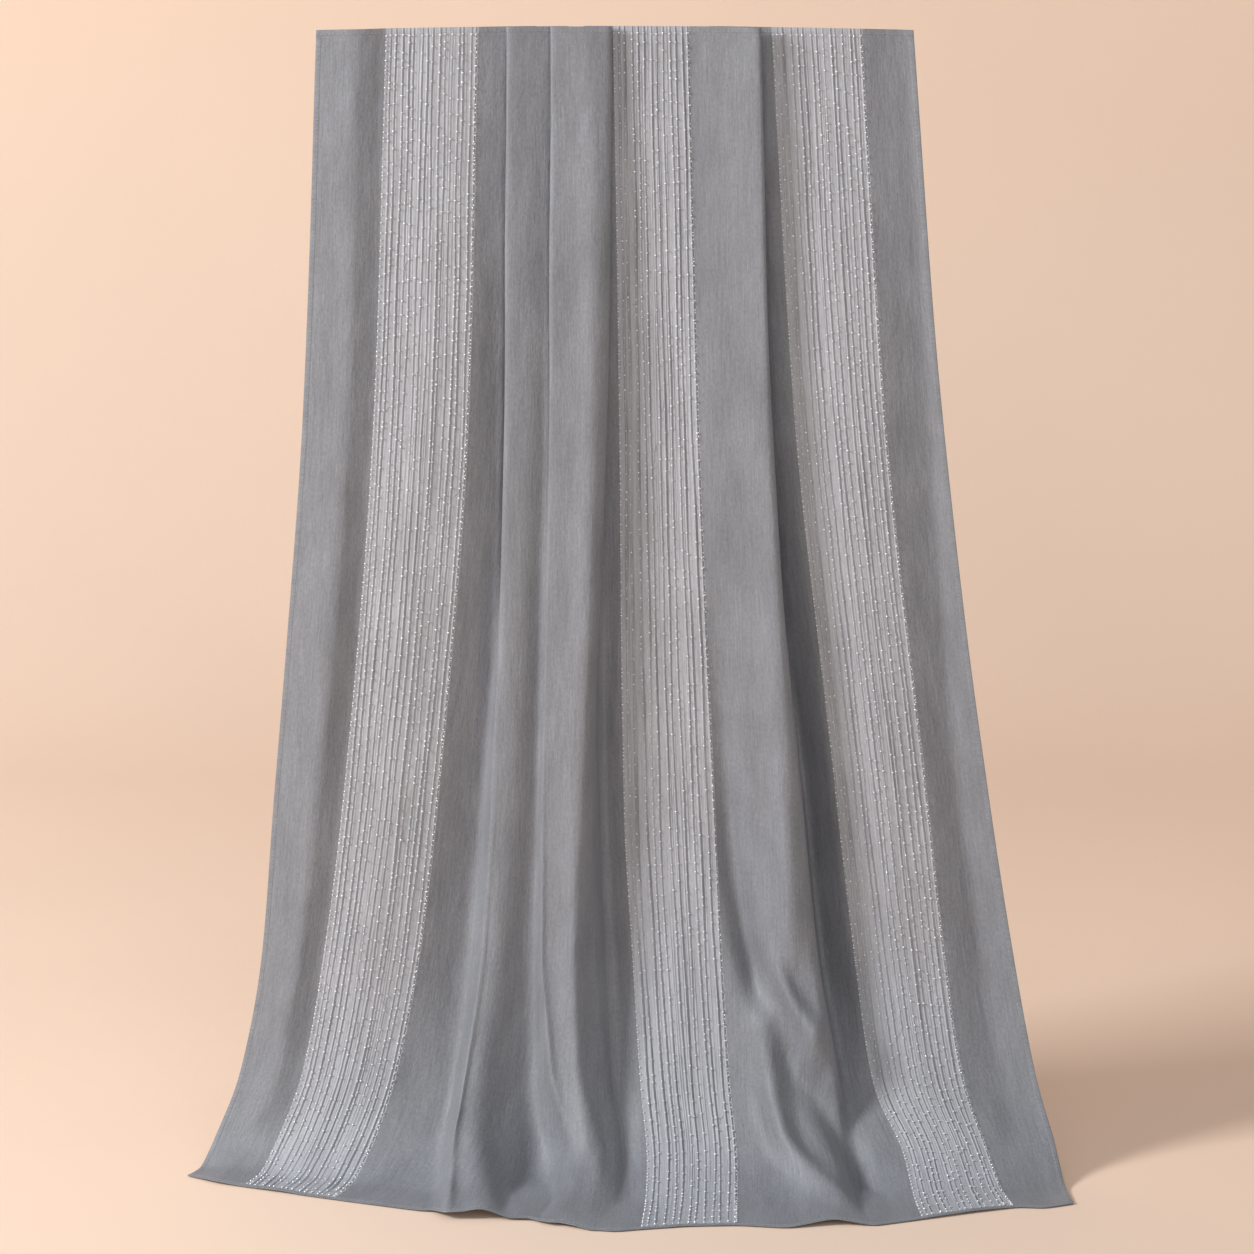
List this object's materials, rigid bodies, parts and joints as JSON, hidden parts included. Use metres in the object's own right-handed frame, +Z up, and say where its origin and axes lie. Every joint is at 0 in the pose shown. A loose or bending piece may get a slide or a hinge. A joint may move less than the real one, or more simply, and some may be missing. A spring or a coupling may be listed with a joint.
{
  "type": "hijab headscarf, hanging from its top hem",
  "caption": "Long grey headscarf with plain panels and lengthwise pleated bands, hanging from its top hem in soft folds, its lower end trailing forward on the floor.",
  "frame": {"origin": "the middle of the top hem, where the cloth is held up", "axes": "+Z up along the hanging cloth, +X to the right across it seen from the front, and the front faces -Y"},
  "size_m": [0.6735, 0.2075, 0.872],
  "materials": {
    "plain_cloth": "cool mid-grey satin-faced crepe with a low sheen",
    "pleated_cloth": "lighter grey crinkled crepe in fine pleats, with small silver beads",
    "hem_cloth": "the same grey crepe, turned over in a narrow hem"
  },
  "bodies": {
    "root": {"panel_left": "plain_cloth", "band_left": "pleated_cloth", "panel_mid_left": "plain_cloth", "band_centre": "pleated_cloth", "panel_mid_right": "plain_cloth", "band_right": "pleated_cloth", "panel_right": "plain_cloth", "hem_top": "hem_cloth", "hem_bottom": "hem_cloth", "hem_left": "hem_cloth", "hem_right": "hem_cloth"}
  },
  "joints": []
}
